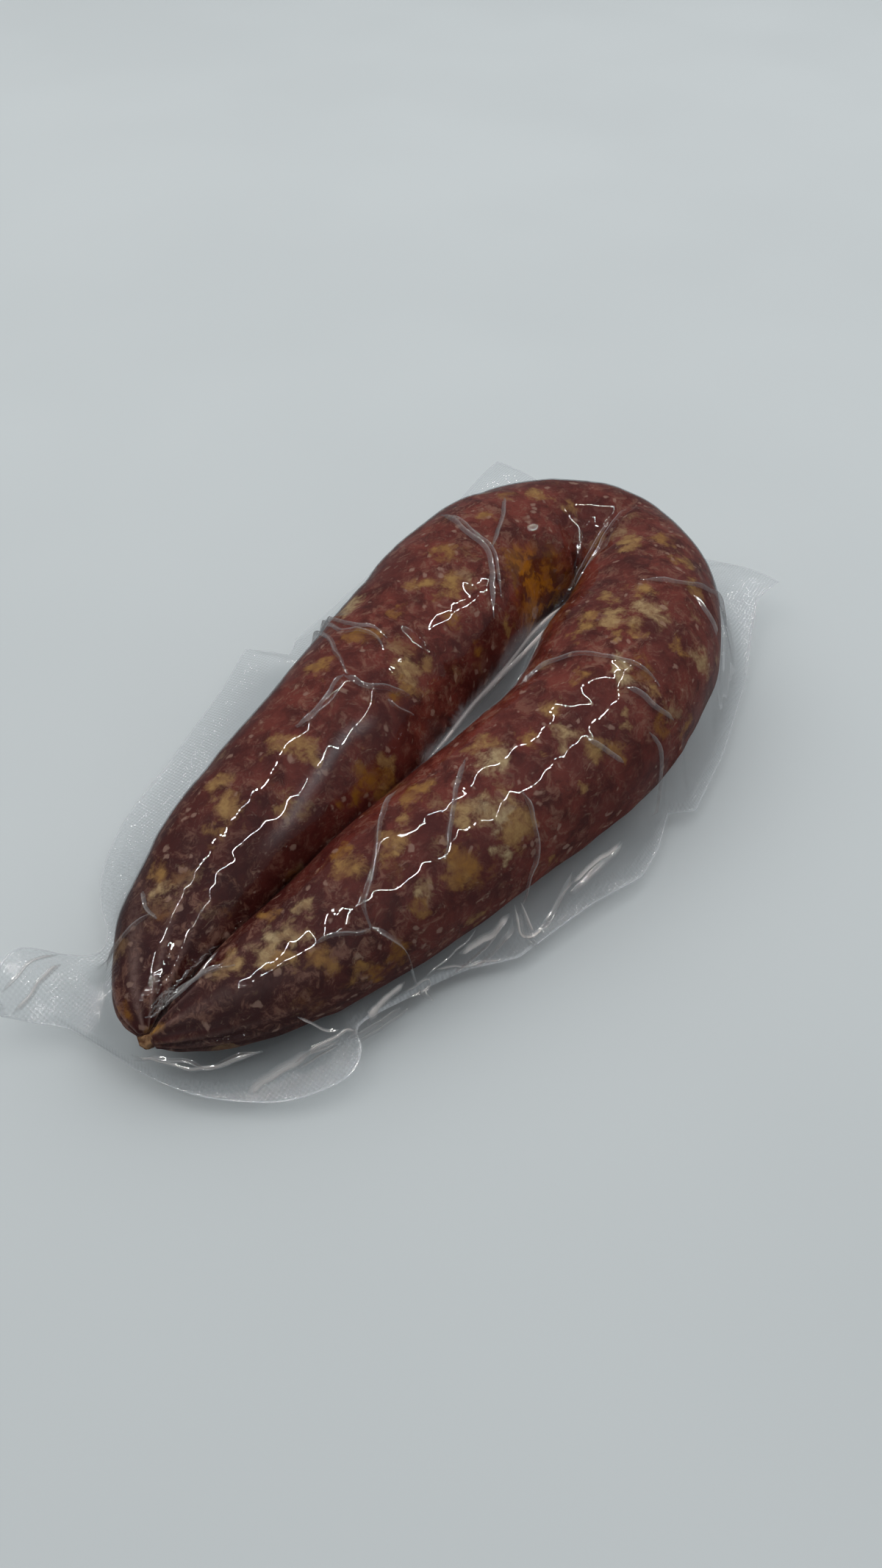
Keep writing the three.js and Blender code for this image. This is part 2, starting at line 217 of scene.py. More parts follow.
def smooth(low, high, value):
    """0 up to low, 1 from high, and an even slope between."""
    t = np.clip((value - low) / (high - low), 0, 1)
    return t * t * (3 - 2 * t)


def noise3(points, size, seed):
    """Smooth noise from -1 to 1 with features of about that size, at N x 3 points."""
    table = np.random.RandomState(seed).uniform(-1, 1, 4096)
    q = points / size + 100.37
    cell = np.floor(q).astype(np.int64)
    f = q - cell
    f = f * f * f * (f * (f * 6 - 15) + 10)
    total = 0
    for i in (0, 1):
        for j in (0, 1):
            for k in (0, 1):
                corner = (cell + (i, j, k)) * (73856093, 19349663, 83492791)
                key = corner[:, 0] ^ corner[:, 1] ^ corner[:, 2]
                w = ((f[:, 0] if i else 1 - f[:, 0]) * (f[:, 1] if j else 1 - f[:, 1])
                     * (f[:, 2] if k else 1 - f[:, 2]))
                total = total + w * table[key & 4095]
    return total


def to_run(x, y, run):
    """Distance to a polyline, and the part of it reached, from 0 to 1."""
    gap = np.full(x.shape, 1e9)
    part = np.zeros(x.shape)
    for i in range(len(run) - 1):
        a, b = run[i], run[i + 1]
        dx, dy = b[0] - a[0], b[1] - a[1]
        t = np.clip(((x - a[0]) * dx + (y - a[1]) * dy) / (dx * dx + dy * dy), 0, 1)
        g = np.hypot(x - a[0] - dx * t, y - a[1] - dy * t)
        near = g < gap
        gap = np.where(near, g, gap)
        part = np.where(near, (i + t) / (len(run) - 1), part)
    return gap, part


# The sausage's centreline as spheres
raw = spline(PATH, 60)
raw_run = np.concatenate([[0], np.cumsum(np.hypot(np.diff(raw[:, 0]), np.diff(raw[:, 1])))])
LENGTH = raw_run[-1]
RUN = np.linspace(0, LENGTH, 561)
CX, CY, CR = (np.interp(RUN, raw_run, raw[:, k]) for k in range(3))
CZ = np.maximum(REST * CR, TIP_HEIGHT)
TX, TY = np.gradient(CX), np.gradient(CY)
TX, TY = TX / np.hypot(TX, TY), TY / np.hypot(TX, TY)
BEND = int(np.argmax(CX))
LEGS = [slice(0, BEND + 1), slice(BEND, len(RUN))]


def rim_height(x, y):
    """Height of the rim's middle surface."""
    z = RIM_HEIGHT + RIM_WAVE * np.sin(x * 0.075 + y * 0.05) * np.cos(x * 0.031 - y * 0.11)
    for lx, ly, rise, reach in LIFTS:
        z = z + rise * np.exp(-(np.hypot(x - lx, y - ly) / reach) ** 2)
    return z


def over_leg(x, y, leg, side, rim, step=1):
    """Height over the rim of a film drawn over one leg, and the run of the leg under it."""
    best = np.full(x.shape, NOWHERE)
    at = np.zeros(x.shape)
    for i in range(leg.start, leg.stop, step):
        px, py, pz, pr, run = CX[i], CY[i], CZ[i], CR[i], RUN[i]
        dx, dy = x - px, y - py
        gap = np.hypot(dx, dy)
        lift = side * (pz - rim)
        # the film holds on further down where the two legs face each other
        inner = smooth(-0.2, 0.5, (dx * TY[i] - dy * TX[i]) / np.maximum(gap, 1e-6))
        angle = TAKE_OFF + (INNER_TAKE_OFF - TAKE_OFF) * inner
        edge = pr * np.cos(angle)
        start = lift + pr * np.sin(angle)
        reach = np.maximum(FALL * start * np.tan(np.maximum(angle, math.radians(9))), 2)
        z = np.where(gap < edge, lift + np.sqrt(np.maximum(pr * pr - gap * gap, 0)),
                     start * np.maximum(1 - (gap - edge) / reach, 0) ** FALL)
        near = z > best
        best = np.where(near, z, best)
        at = np.where(near, run, at)
    return best, at


def drape(x, y, side, rim, step=1):
    """Height over the rim of a film drawn over both legs, upwards or downwards by side."""
    (a, ra), (b, rb) = (over_leg(x, y, leg, side, rim, step) for leg in LEGS)
    apart = BRIDGE * smooth(25, 80, np.abs(ra - rb)) + 0.01
    top = np.maximum(a, b)
    return top + apart * np.log(np.exp((a - top) / apart) + np.exp((b - top) / apart))


def hollow(x, y):
    """Depth of the crease of the bend: a sharp side by the near leg and a wide one by the far leg."""
    gap, part = to_run(x, y, CREASE)
    xs, ys = np.array(CREASE, float).T
    far = y > np.interp(x, xs, ys)
    deep, shallow = CREASE_DEPTH
    depth = shallow + (deep - shallow) * (1 - part) ** 1.3
    wide = np.where(far, 3.5 + 5.5 * (1 - part), 1.6)
    return depth * np.exp(-(gap / wide) ** 2)


def slit_ridges(x, y):
    """Height of the taut film over the slit."""
    one = np.interp(x, *np.array(RIDGE_ONE, float).T)
    two = np.interp(x, *np.array(RIDGE_TWO, float).T)
    between = 0.45 * np.minimum(one - y, y - two)
    fall = np.where(y > one, 0.2 * (y - one), np.where(y < two, 1.1 * (two - y), between))
    past = np.maximum(np.maximum(RIDGE_ONE[0][0] - x, x - RIDGE_ONE[-1][0]), 0)
    return RIDGE_TOP + RIDGE_RISE * np.maximum(x - RISE_FROM, 0) - fall - 1.2 * past


# Mesh and material helpers
def mesh_object(name, points_mm, faces):
    """A smooth shaded mesh from points in the solid's drawing frame."""
    mesh = bpy.data.meshes.new(name)
    mesh.from_pydata([tuple(p) for p in (points_mm - SHIFT) * MM], [], faces)
    mesh.update()
    mesh.polygons.foreach_set("use_smooth", [True] * len(mesh.polygons))
    obj = bpy.data.objects.new(name, mesh)
    bpy.context.scene.collection.objects.link(obj)
    return obj


def grid_faces(lines, rows, flip=False):
    """Four-cornered faces of a grid of points."""
    a = (np.arange(lines - 1)[:, None] * rows + np.arange(rows - 1)[None]).ravel()
    quads = np.stack([a, a + rows, a + rows + 1, a + 1], 1)
    return (quads[:, ::-1] if flip else quads).tolist()


def tube_faces(lines, around):
    """Four-cornered faces of a tube of points."""
    faces = []
    for a in range(0, (lines - 1) * around, around):
        b = a + around
        for k in range(around):
            m = (k + 1) % around
            faces.append((a + k, a + m, b + m, b + k))
    return faces


def float_layer(obj, name, values):
    """One number for each point of a mesh, which its material reads."""
    layer = obj.data.attributes.new(name, "FLOAT", "POINT")
    layer.data.foreach_set("value", np.asarray(values, np.float32))


class Nodes:
    """A short way to write a node tree."""

    def __init__(self, name):
        self.mat = bpy.data.materials.new(name)
        self.mat.use_nodes = True
        self.tree = self.mat.node_tree
        self.tree.nodes.clear()
        self.out = self.tree.nodes.new("ShaderNodeOutputMaterial")

    def add(self, kind, inputs=None, **props):
        """A node with its inputs set or linked."""
        node = self.tree.nodes.new("ShaderNode" + kind)
        for key, value in props.items():
            setattr(node, key, value)
        for key, value in (inputs or {}).items():
            if isinstance(value, bpy.types.NodeSocket):
                self.tree.links.new(value, node.inputs[key])
            else:
                node.inputs[key].default_value = value
        return node

    def math(self, op, a, b=0.0, clamp=False):
        """One step of arithmetic."""
        return self.add("Math", {0: a, 1: b}, operation=op, use_clamp=clamp).outputs[0]

    def ramp(self, value, low, high, lo=0.0, hi=1.0):
        """An even slope from lo, where the value is low, to hi, where it is high."""
        inputs = {"Value": value, "From Min": low, "From Max": high, "To Min": lo, "To Max": hi}
        node = self.add("MapRange", inputs, interpolation_type="SMOOTHSTEP")
        return node.outputs["Result"]

    def mix(self, fac, a, b):
        """A colour between a and b."""
        node = self.tree.nodes.new("ShaderNodeMix")
        node.data_type = "RGBA"
        for socket, value in ((node.inputs[0], fac), (node.inputs[6], a), (node.inputs[7], b)):
            if isinstance(value, bpy.types.NodeSocket):
                self.tree.links.new(value, socket)
            else:
                socket.default_value = value
        return node.outputs[2]

    def noise(self, vector, size_mm, detail=3.0, rough=0.55, distort=0.0, out="Fac"):
        """Noise with features of about that size."""
        return self.add("TexNoise", {"Vector": vector, "Scale": 1000.0 / size_mm, "Detail": detail,
                                     "Roughness": rough, "Distortion": distort}).outputs[out]

    def cells(self, vector, size_mm, channel):
        """Cells of about that size: the distance from a cell's middle, and a random number for each cell."""
        node = self.add("TexVoronoi", {"Vector": vector, "Scale": 1000.0 / size_mm, "Randomness": 1.0},
                        feature="F1")
        colour = self.add("SeparateColor", {0: node.outputs["Color"]})
        return node.outputs["Distance"], colour.outputs[channel]


# Materials

# Colours of the meat
LEAN_DEEP = (0.062, 0.0085, 0.0058, 1)
LEAN_LIGHT = (0.185, 0.036, 0.024, 1)
LEAN_BROWN = (0.075, 0.012, 0.010, 1)
LEAN_TIPWARD = (0.026, 0.0035, 0.0035, 1)
SMEARED_FAT = (0.27, 0.13, 0.088, 1)
DRAWN_OUT_FAT = (0.36, 0.235, 0.165, 1)
FLECK = (0.36, 0.22, 0.165, 1)
LOOSE_FAT_DEEP = (0.20, 0.080, 0.026, 1)
LOOSE_FAT_PALE = (0.31, 0.195, 0.100, 1)
FAT_OILY = (0.25, 0.092, 0.006, 1)
FAT_TAN = (0.36, 0.200, 0.062, 1)
FAT_PALE = (0.50, 0.38, 0.21, 1)
FAT_STAINED = (0.17, 0.060, 0.026, 1)
OIL_DEEP = (0.105, 0.024, 0.004, 1)
OIL_BRIGHT = (0.40, 0.135, 0.006, 1)
CASING_PALE = (0.27, 0.165, 0.14, 1)
# Middle of the place where oil pools by the bend, in the drawing frame
OIL_WELL = (52, 9.5, 26)
# One cell of the rim's embossed weave, in metres
WEAVE_PITCH = 0.0012


def lean_colour(n, coord, place, mid, ragged):
    """Red lean with smears, streaks and flecks of fat worked through it."""
    big = n.noise(coord, 24.0, 3.0, 0.55)
    lean = n.mix(n.ramp(mid, 0.34, 0.64), LEAN_DEEP, LEAN_LIGHT)
    lean = n.mix(n.ramp(big, 0.38, 0.66, 0.0, 0.6), lean, LEAN_BROWN)
    # darker towards the tips
    along = n.add("SeparateXYZ", {0: coord}).outputs[0]
    lean = n.mix(n.ramp(along, -0.03, -0.09, 0.0, 0.82), lean, LEAN_TIPWARD)
    # soft smears of fat worked through the lean
    smear = n.noise(place, 3.6, 6.0, 0.78, 0.6)
    smear = n.math("MULTIPLY", n.ramp(smear, 0.49, 0.66, 0.0, 0.65), n.ramp(big, 0.70, 0.40, 0.35, 1.0))
    lean = n.mix(smear, lean, SMEARED_FAT)
    # thin pale streaks drawn out along the legs
    drawn_out = n.add("Mapping", {"Vector": place, "Scale": (0.42, 1.0, 1.0)}).outputs[0]
    streak = n.noise(drawn_out, 1.7, 5.0, 0.75, 0.8)
    streak = n.ramp(streak, 0.57, 0.70, 0.0, 0.6)
    streak = n.math("MULTIPLY", streak, n.ramp(n.noise(place, 15.0, 2.0, 0.5), 0.42, 0.6))
    lean = n.mix(streak, lean, DRAWN_OUT_FAT)
    # pale flecks
    gap, pick = n.cells(place, 2.6, 2)
    fleck = n.math("SUBTRACT", n.ramp(pick, 0.45, 1.0, -0.1, 0.42), gap)
    fleck = n.ramp(n.math("ADD", fleck, n.math("MULTIPLY", ragged, 0.7)), 0.0, 0.2, 0.0, 0.6)
    return n.mix(fleck, lean, FLECK)


def fat_over(n, lean, place, ragged):
    """The lean with pieces of fat: scattered ones, and over them those placed one by one."""
    gap, pick = n.cells(place, 9.5, 0)
    near = n.math("SUBTRACT", n.ramp(pick, 0.25, 1.0, -0.25, 0.44), gap)
    near = n.math("ADD", near, n.math("MULTIPLY", ragged, 1.9))
    loose = n.ramp(near, -0.06, 0.52, 0.0, 0.75)
    tint = n.noise(place, 9.0, 2.0, 0.5)
    loose_colour = n.mix(n.ramp(tint, 0.35, 0.65), LOOSE_FAT_DEEP, LOOSE_FAT_PALE)
    colour = n.mix(loose, lean, loose_colour)
    reach = n.add("Attribute", attribute_name="fat").outputs["Fac"]
    tone = n.add("Attribute", attribute_name="tone").outputs["Fac"]
    torn = n.math("SUBTRACT", n.noise(place, 1.3, 4.0, 0.7), 0.5)
    torn = n.math("ADD", n.math("MULTIPLY", ragged, 2.3), n.math("MULTIPLY", torn, 1.2))
    reach = n.math("ADD", reach, torn)
    patch = n.ramp(reach, -0.30, 0.78, 0.0, 0.95)
    shade = n.noise(place, 2.2, 4.0, 0.65)
    deep = n.mix(n.ramp(tone, 0.0, 0.5), FAT_OILY, FAT_TAN)
    deep = n.mix(n.ramp(tone, 0.5, 1.0), deep, FAT_PALE)
    patch_colour = n.mix(n.ramp(shade, 0.35, 0.65, 0.55, 0.0), deep, FAT_STAINED)
    return n.mix(patch, colour, patch_colour)


def oil_over(n, colour, coord, place, ragged):
    """The meat with the oil that pools under the film by the bend."""
    well = tuple((OIL_WELL - SHIFT) * MM)
    spot = n.add("VectorMath", {0: coord, 1: well}, operation="DISTANCE").outputs["Value"]
    oil = n.math("MULTIPLY", n.ramp(spot, 0.017, 0.007), n.ramp(ragged, -0.08, 0.08, 0.6, 1.0))
    pooled = n.mix(n.ramp(n.noise(place, 5.0, 4.0, 0.6), 0.44, 0.56), OIL_DEEP, OIL_BRIGHT)
    return n.mix(n.math("MULTIPLY", oil, 0.9), colour, pooled)


def meat_material():
    """Cured meat: red lean, fat as smears, streaks, flecks and pieces, and oil by the bend."""
    n = Nodes("cured_meat")
    coord = n.add("TexCoord").outputs["Object"]
    # the patterns are read from warped places, so that none looks regular
    warp = n.noise(coord, 7.0, 3.0, 0.6, out="Color")
    warped = n.add("VectorMath", {0: warp, 1: (-0.5, -0.5, -0.5)}, operation="ADD").outputs[0]
    warped = n.add("VectorMath", {0: warped, "Scale": 0.0055}, operation="SCALE").outputs[0]
    place = n.add("VectorMath", {0: coord, 1: warped}, operation="ADD").outputs[0]
    mid = n.noise(place, 7.0, 6.0, 0.68)
    fine = n.noise(place, 1.5, 4.0, 0.7)
    ragged = n.math("SUBTRACT", n.noise(place, 3.4, 6.0, 0.78), 0.5)
    colour = lean_colour(n, coord, place, mid, ragged)
    colour = fat_over(n, colour, place, ragged)
    colour = oil_over(n, colour, coord, place, ragged)
    # casing drawn up in pale wrinkles where it is tied
    drawn = n.add("Attribute", attribute_name="drawn").outputs["Fac"]
    drawn = n.math("MULTIPLY", drawn, n.ramp(fine, 0.3, 0.6, 0.35, 1.0))
    colour = n.mix(drawn, colour, CASING_PALE)
    rough = n.ramp(fine, 0.3, 0.7, 0.42, 0.6)
    height = n.math("ADD", n.math("MULTIPLY", mid, 0.6), n.math("MULTIPLY", fine, 0.4))
    bump = n.add("Bump", {"Height": height, "Strength": 0.35, "Distance": 0.0006})
    shader = n.add("BsdfPrincipled", {"Base Color": colour, "Roughness": rough, "Normal": bump.outputs[0],
                                      "Specular IOR Level": 0.0})
    n.tree.links.new(shader.outputs[0], n.out.inputs["Surface"])
    return n.mat


def film_material(name, haze_base, gloss_rough, straight_on=0.05, milky=(0.72, 0.74, 0.76, 1),
                  crease_haze_and_highlight=0.07, weave_haze=0.22):
    """Clear film with a mirror gloss, and a milky haze in its creases, its cut edge and its woven rim; parts
    of that haze are painted highlight, sheen and light.
    """
    n = Nodes(name)
    coord = n.add("TexCoord").outputs["Object"]
    crease = n.add("Attribute", attribute_name="crease").outputs["Fac"]
    rim = n.add("Attribute", attribute_name="rim").outputs["Fac"]
    # embossed diamond weave of the sealing film
    turned = n.add("Mapping", {"Vector": coord, "Rotation": (0, 0, math.radians(40))}).outputs[0]
    part = n.add("SeparateXYZ", {0: turned})
    pitch = 2 * math.pi / WEAVE_PITCH
    wave_x = n.math("SINE", n.math("MULTIPLY", part.outputs[0], pitch))
    wave_y = n.math("SINE", n.math("MULTIPLY", part.outputs[1], pitch))
    weave = n.math("ADD", n.math("MULTIPLY", n.math("MULTIPLY", wave_x, wave_y), 0.5), 0.5)
    edge = n.add("Attribute", attribute_name="edge").outputs["Fac"]
    grain = n.noise(coord, 3.0, 2.0, 0.5)
    weave_part = n.math("MULTIPLY", weave, n.math("MULTIPLY", rim, 0.8))
    height = n.math("ADD", weave_part, n.math("MULTIPLY", grain, 0.10))
    bump = n.add("Bump", {"Height": height, "Strength": 0.5, "Distance": 0.00012})
    facing = n.add("LayerWeight", {"Blend": 0.5, "Normal": bump.outputs[0]}).outputs["Facing"]
    shine = n.math("ADD", n.math("MULTIPLY", n.math("POWER", facing, 5.0), 0.85), straight_on, clamp=True)
    # painted shade: the gloss is taken away along the seam between the legs
    seam_painted_shade = n.add("Attribute", attribute_name="seam_painted_shade").outputs["Fac"]
    shine = n.math("MULTIPLY", shine, n.math("SUBTRACT", 1.0, seam_painted_shade))
    gloss = n.add("BsdfGlossy", {"Color": (1, 1, 1, 1), "Roughness": gloss_rough,
                                 "Normal": bump.outputs[0]})
    clear = n.add("BsdfTransparent", {"Color": (0.98, 0.985, 0.988, 1)})
    milk = n.add("BsdfDiffuse", {"Color": milky, "Normal": bump.outputs[0]})
    # the crease haze is also painted highlight on bright folds and ridges and painted sheen; the edge haze
    # is also painted light over the slit
    haze = n.math("ADD", haze_base, n.math("MULTIPLY", crease, crease_haze_and_highlight))
    haze = n.math("ADD", haze, n.math("MULTIPLY", edge, 0.35))
    haze = n.math("ADD", haze, n.math("MULTIPLY", n.math("MULTIPLY", rim, weave), weave_haze), clamp=True)
    body = n.add("MixShader", {0: haze, 1: clear.outputs[0], 2: milk.outputs[0]})
    shader = n.add("MixShader", {0: shine, 1: body.outputs[0], 2: gloss.outputs[0]})
    n.tree.links.new(shader.outputs[0], n.out.inputs["Surface"])
    return n.mat


# The sausage
def pressed(centre, dirs):
    """How far each section reaches each way, up to the plane where another part of the run stops it."""
    others = 26      # parts of the run further apart than this press on each other
    reach = np.repeat(CR[:, None], dirs.shape[1], 1)
    for j in range(0, len(RUN), 3):
        apart = centre[j] - centre
        gap = np.linalg.norm(apart, axis=1)
        far = (np.abs(RUN - RUN[j]) > others) & (gap > 1) & (gap < CR + CR[j] + 4)
        if not far.any():
            continue
        unit = apart[far] / gap[far][:, None]
        plane = (gap[far] ** 2 + CR[far] ** 2 - CR[j] ** 2) / (2 * gap[far]) - 0.12
        along = (dirs[far] * unit[:, None, :]).sum(2)
        limit = np.where(along > 0.05, plane[:, None] / np.maximum(along, 0.05), 1e9)
        reach[far] = np.minimum(reach[far], np.maximum(limit, 0.5))
    return reach


def fat_layers(obj, tree, flat):
    """How near each point is to a placed piece of fat, and that piece's tone."""
    # measured from warped places, so that the outlines are uneven
    warp = np.stack([noise3(flat, 3.2, seed) + 0.5 * noise3(flat, 1.5, seed + 10)
                     for seed in (51, 52, 53)], 1)
    moved = flat + 2.1 * warp
    near = np.full(len(flat), -1.0)
    tone = np.full(len(flat), 0.5)
    for x, y, size, pale in FAT:
        hit = tree.ray_cast(Vector((x, y, ABOVE_ALL)), DOWN)[0]
        if hit is None:
            hit = tree.find_nearest(Vector((x, y, 16)))[0]
        value = 1 - np.linalg.norm(moved - np.array(hit), axis=1) / (size * 1.15)
        tone = np.where(value > near, pale, tone)
        near = np.maximum(near, value)
    float_layer(obj, "fat", near)
    float_layer(obj, "tone", tone)


def sausage():
    """The meat in its casing, and a search tree of its surface."""
    around = 132
    n = len(RUN)
    nx, ny = -TY, TX
    phi = np.arange(around) * 2 * math.pi / around
    dirs = np.stack([nx[:, None] * np.cos(phi), ny[:, None] * np.cos(phi),
                     np.broadcast_to(np.sin(phi), (n, around))], 2)
    centre = np.stack([CX, CY, CZ], 1)
    flat = (centre[:, None, :] + dirs * pressed(centre, dirs)[:, :, None]).reshape(-1, 3)
    normal = dirs.reshape(-1, 3)
    end = np.repeat(np.minimum(RUN, LENGTH - RUN), around)
    lumps = 0.42 * noise3(flat, 13.0, 3) + 0.22 * noise3(flat, 6.0, 4) + 0.07 * noise3(flat, 2.4, 5)
    lumps = lumps * smooth(0, 14, end)
    # gathered casing at the tied tips
    angle = np.tile(phi, n)
    tucks = np.sin(angle * 11 + 2 * np.sin(angle * 3) + end * 0.12)
    gather = 0.8 * tucks * np.exp(-end / 10) * smooth(0, 4, end)
    swell = 0
    for side, amount, middle, spread in SWELLS:
        there = np.exp(-((flat[:, 0] - middle) / spread) ** 2) * smooth(0.2, 0.95, -side * normal[:, 1])
        swell = swell + amount * there * (side * flat[:, 1] > 0)
    flat = flat + normal * (lumps + gather + swell)[:, None]
    flat[:, 2] -= hollow(flat[:, 0], flat[:, 1]) * smooth(0.0, 0.5, normal[:, 2])
    flat[:, 2] = np.maximum(flat[:, 2], 0.35)
    faces = tube_faces(n, around)
    tips = [len(flat), len(flat) + 1]
    flat = np.vstack([flat, centre[0] - (0.6, 0, 0), centre[-1] - (0.6, 0, 0)])
    last = (n - 1) * around
    for k in range(around):
        m = (k + 1) % around
        faces.append((m, k, tips[0]))
        faces.append((last + k, last + m, tips[1]))
    obj = mesh_object("sausage", flat, faces)
    tree = BVHTree.FromPolygons([Vector(p) for p in flat], faces)
    wrinkle = 0.5 + 0.5 * tucks
    leg = np.repeat(np.where(RUN < LENGTH / 2, 0.6, 0.3), around)
    float_layer(obj, "drawn", np.append(leg * wrinkle ** 4 * np.exp(-(end / 22) ** 2), [0.3, 0.3]))
    fat_layers(obj, tree, flat)
    obj.data.materials.append(meat_material())
    return obj, tree


# Where the knot starts between the tips, and how far it runs
KNOT_FROM, KNOT_RUN = (-98.8, -4.6, 13.4), (-4.6, 0.9, -1.6)


def knot():
    """The tied end of the casing, drawn together between the two tips."""
    lines, around = 22, 28
    t = np.linspace(0, 1, lines)[:, None]
    phi = (np.arange(around) * 2 * math.pi / around)[None]
    size = np.interp(t, [0, 0.18, 0.42, 0.6, 0.8, 1], [0.4, 1.7, 1.1, 1.9, 1.5, 0.2])
    size = size * (1 + 0.16 * np.sin(phi * 7 + t * 5))
    x = KNOT_FROM[0] + KNOT_RUN[0] * t + 0 * phi
    y = KNOT_FROM[1] + KNOT_RUN[1] * t + size * np.cos(phi)
    z = KNOT_FROM[2] + KNOT_RUN[2] * t + 0.9 * size * np.sin(phi)
    points = np.stack([x, y, z], 2).reshape(-1, 3)
    points += 0.35 * np.stack([noise3(points, 1.6, seed) for seed in (71, 72, 73)], 1)
    obj = mesh_object("knot", points, tube_faces(lines, around))
    n = Nodes("casing_knot")
    coord = n.add("TexCoord").outputs["Object"]
    mottle = n.ramp(n.noise(coord, 1.6, 4.0, 0.65), 0.35, 0.65)
    colour = n.mix(mottle, (0.10, 0.035, 0.018, 1), (0.36, 0.20, 0.10, 1))
    shader = n.add("BsdfPrincipled", {"Base Color": colour, "Roughness": 0.6, "Specular IOR Level": 0.0})
    n.tree.links.new(shader.outputs[0], n.out.inputs["Surface"])
    obj.data.materials.append(n.mat)
    return obj


# The film
def rounded(side, until):
    """The side's outline with round corners up to that x and straight ones after it."""
    ear = [p for p in side if p[0] <= until]
    return np.vstack([spline(ear, 8), [p for p in side if p[0] > until]])


def outline(lines):
    """Places along X, and the near and far side of the film at each."""
    left, right = rounded(LEFT, -41), rounded(RIGHT, -42)
    low_end = np.linspace(START_X, EAR_X, EAR_LINES, endpoint=False)
    round_end = np.linspace(EAR_X, ROUND_X, ROUND_LINES, endpoint=False)
    rest = np.linspace(ROUND_X, END_X, lines - EAR_LINES - ROUND_LINES)
    x = np.concatenate([low_end, round_end, rest])
    return x, np.interp(x, right[:, 0], right[:, 1]), np.interp(x, left[:, 0], left[:, 1])


def film_grid(lines, rows):
    """A film's grid in plan, and how far each point is inside the film's cut edge."""
    x, low, high = outline(lines)
    v = np.linspace(0, 1, rows)
    y = low[:, None] + (high - low)[:, None] * v
    bow = END_BOW * np.sin(math.pi * v)[None] * smooth(END_X - 30, END_X, x)[:, None]
    px = x[:, None] + bow
    inside = np.minimum(np.minimum(y - low[:, None], high[:, None] - y),
                        (END_X + END_BOW * np.sin(math.pi * v))[None] - px)
    inside = np.minimum(inside, np.hypot(px - START_X, y - 28) * 0.35 + np.maximum(px + 104, 0))
    return px, y, inside


def relax(z, floor, turns):
    """Pull a film tight, and keep it over a floor."""
    for _ in range(turns):
        mean = z.copy()
        mean[1:-1, 1:-1] = (z[:-2, 1:-1] + z[2:, 1:-1] + z[1:-1, :-2] + z[1:-1, 2:]) * 0.25
        z = np.maximum(mean, floor)
    return z


def clear_of(tree, points, gap):
    """Move points that are in or too near the meat straight out of it."""
    for i, point in enumerate(points):
        if point[2] < 1.5:
            continue
        spot, normal, _, _ = tree.find_nearest(Vector(point), 3.0)
        if spot is None:
            continue
        depth = (Vector(point) - spot).dot(normal)
        if depth < gap:
            points[i] = np.array(spot + normal * gap)


def heights(tree, x, y):
    """Height of the meat's top at each place, or NOWHERE beside it."""
    found = np.full(x.size, NOWHERE)
    for i, place in enumerate(zip(x.ravel(), y.ravel())):
        spot = tree.ray_cast(Vector((*place, ABOVE_ALL)), DOWN)[0]
        if spot is not None:
            found[i] = spot.z
    return found.reshape(x.shape)


def stretched(x, y, inside, floor):
    """Height of the upper film, pulled tight over the meat, with its raised pleats."""
    rim = rim_height(x, y)
    hung = rim + drape(x, y, 1, rim) * smooth(1, 9, inside)
    hung = np.maximum(hung - hollow(x, y), slit_ridges(x, y))
    z = np.maximum(hung - 0.25, floor + 0.16)
    z = relax(z, np.maximum(floor + 0.16, np.where(inside < 1.0, z, NOWHERE)), 16)
    on_meat = floor > 0
    # it hugs the cleft between the legs, and stands off more over the slit and at the tips
    cap = 0.4 + 2.5 * smooth(-24, -6, x) + 0.5 * smooth(-88, -96, x)
    z = np.where(on_meat, np.minimum(z, floor + cap), z)
    ease = smooth(0.5, 5, inside)
    for height, width, run in PLEATS:
        g, part = to_run(x, y, run)
        ends = smooth(0, 0.2, part) * smooth(0, 0.2, 1 - part)
        z = z + ease * ends * 0.35 * height * np.exp(-(g / (width * 2.4)) ** 2)
    return z


def dented(x, y, z, inside, floor):
    """The upper film's points, with its facets, dents and soft folds."""
    points = np.stack([x, y, z], 2).reshape(-1, 3)
    cling = smooth(0.2, 1.6, (z - floor).ravel())
    facets = 0.16 * np.abs(noise3(points, 11.0, 23)) + 0.08 * np.abs(noise3(points, 5.0, 24))
    waves = 0.05 * noise3(points, 4.0, 21)
    # the film is dented most on the near leg and over the bend
    near_leg = smooth(-8, -14, y) * smooth(-32, -20, x) * smooth(52, 40, x)
    most = (near_leg + 2.4 * smooth(42, 54, x)).ravel()
    waves = waves + 0.11 * most * noise3(points, 4.8, 25)
    # spare film lies in soft folds where it hangs free beside the near leg
    run_out = np.stack([x.ravel() * 0.35, y.ravel() * 1.3, z.ravel() * 0], 1)
    free = cling * (floor.ravel() < 0) * smooth(2, 5, inside.ravel()) * smooth(-20, -34, y.ravel())
    folds = 0.9 * np.abs(noise3(run_out, 7.0, 61)) * free
    points[:, 2] += (facets + folds + waves * (0.5 + 0.5 * cling)) * smooth(0, 3, inside.ravel())
    points[:, 2] = np.maximum(points[:, 2], floor.ravel() + 0.10)
    return points


